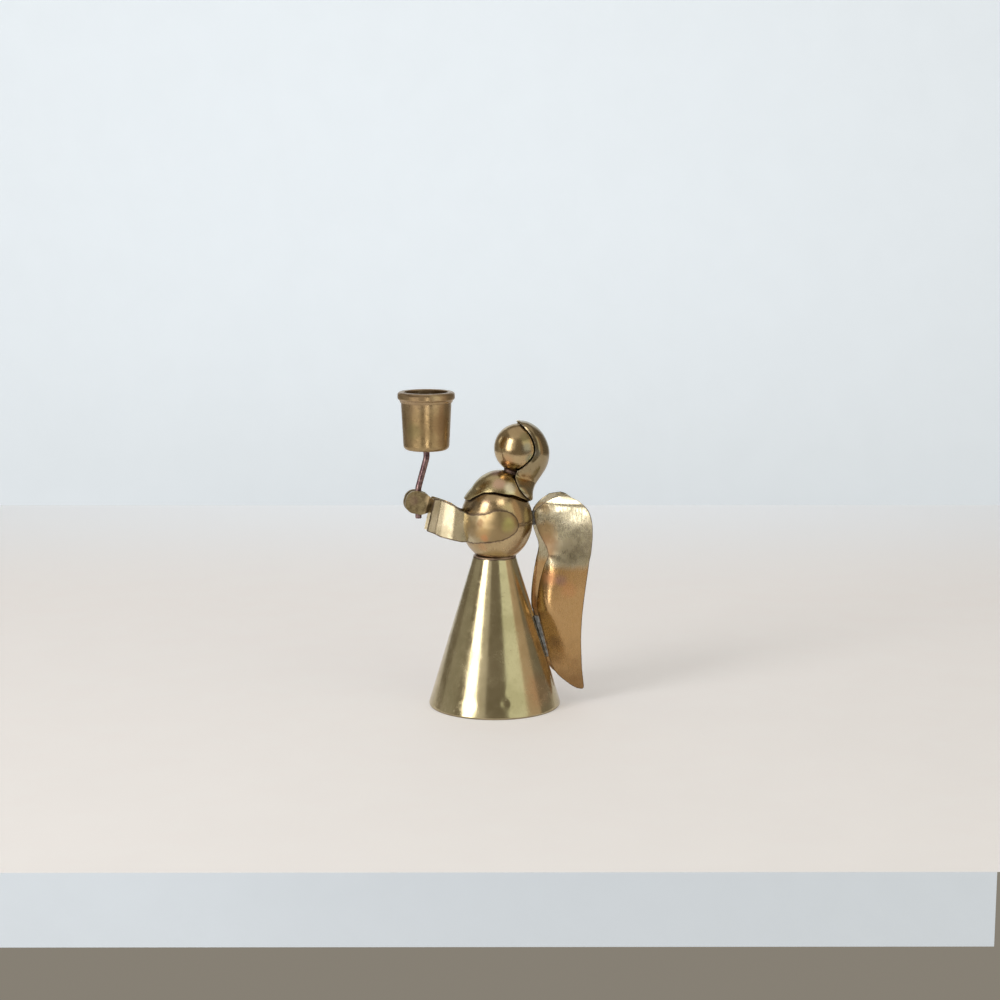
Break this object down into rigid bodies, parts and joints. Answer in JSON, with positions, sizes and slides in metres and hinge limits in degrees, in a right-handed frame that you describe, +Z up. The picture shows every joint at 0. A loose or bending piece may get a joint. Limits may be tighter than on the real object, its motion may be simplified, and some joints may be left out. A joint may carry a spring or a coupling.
{
  "type": "angel candle holder",
  "caption": "Standing brass angel with a cone skirt, ball head, cape, sleeves and wings, its joined hands holding up a bent rod with a taper candle cup.",
  "frame": {"origin": "middle of the floor ring under the skirt, on the surface it stands on", "axes": "+Z up, -Y the way the angel faces and holds the candle, +X the angel's left side"},
  "size_m": [0.0688, 0.0986, 0.1651],
  "materials": {
    "brass_sheet": "aged polish",
    "brass_ball": "aged polish",
    "brass_cup": "brushed, patinated",
    "dull_brass": "matte patina",
    "copper_rod": "tarnished",
    "copper_solder": "rough",
    "solder": "rough grey solder"
  },
  "bodies": {
    "root": {"skirt": "brass_sheet", "waist_solder": "solder", "body_lower_shell": "brass_ball", "body_upper_shell": "brass_ball", "neck_solder": "copper_solder", "head": "brass_ball", "hair": "brass_sheet", "hair_solder": "solder", "cape": "brass_sheet", "left_sleeve": "brass_sheet", "right_sleeve": "brass_sheet", "left_hand": "dull_brass", "right_hand": "dull_brass", "hand_solder": "solder", "candle_stem": "copper_rod", "stem_solder": "copper_solder", "candle_cup": "brass_cup", "left_wing": "brass_sheet", "right_wing": "brass_sheet", "wing_root_solder": "solder", "left_wing_solder": "solder", "right_wing_solder": "solder"}
  },
  "joints": []
}
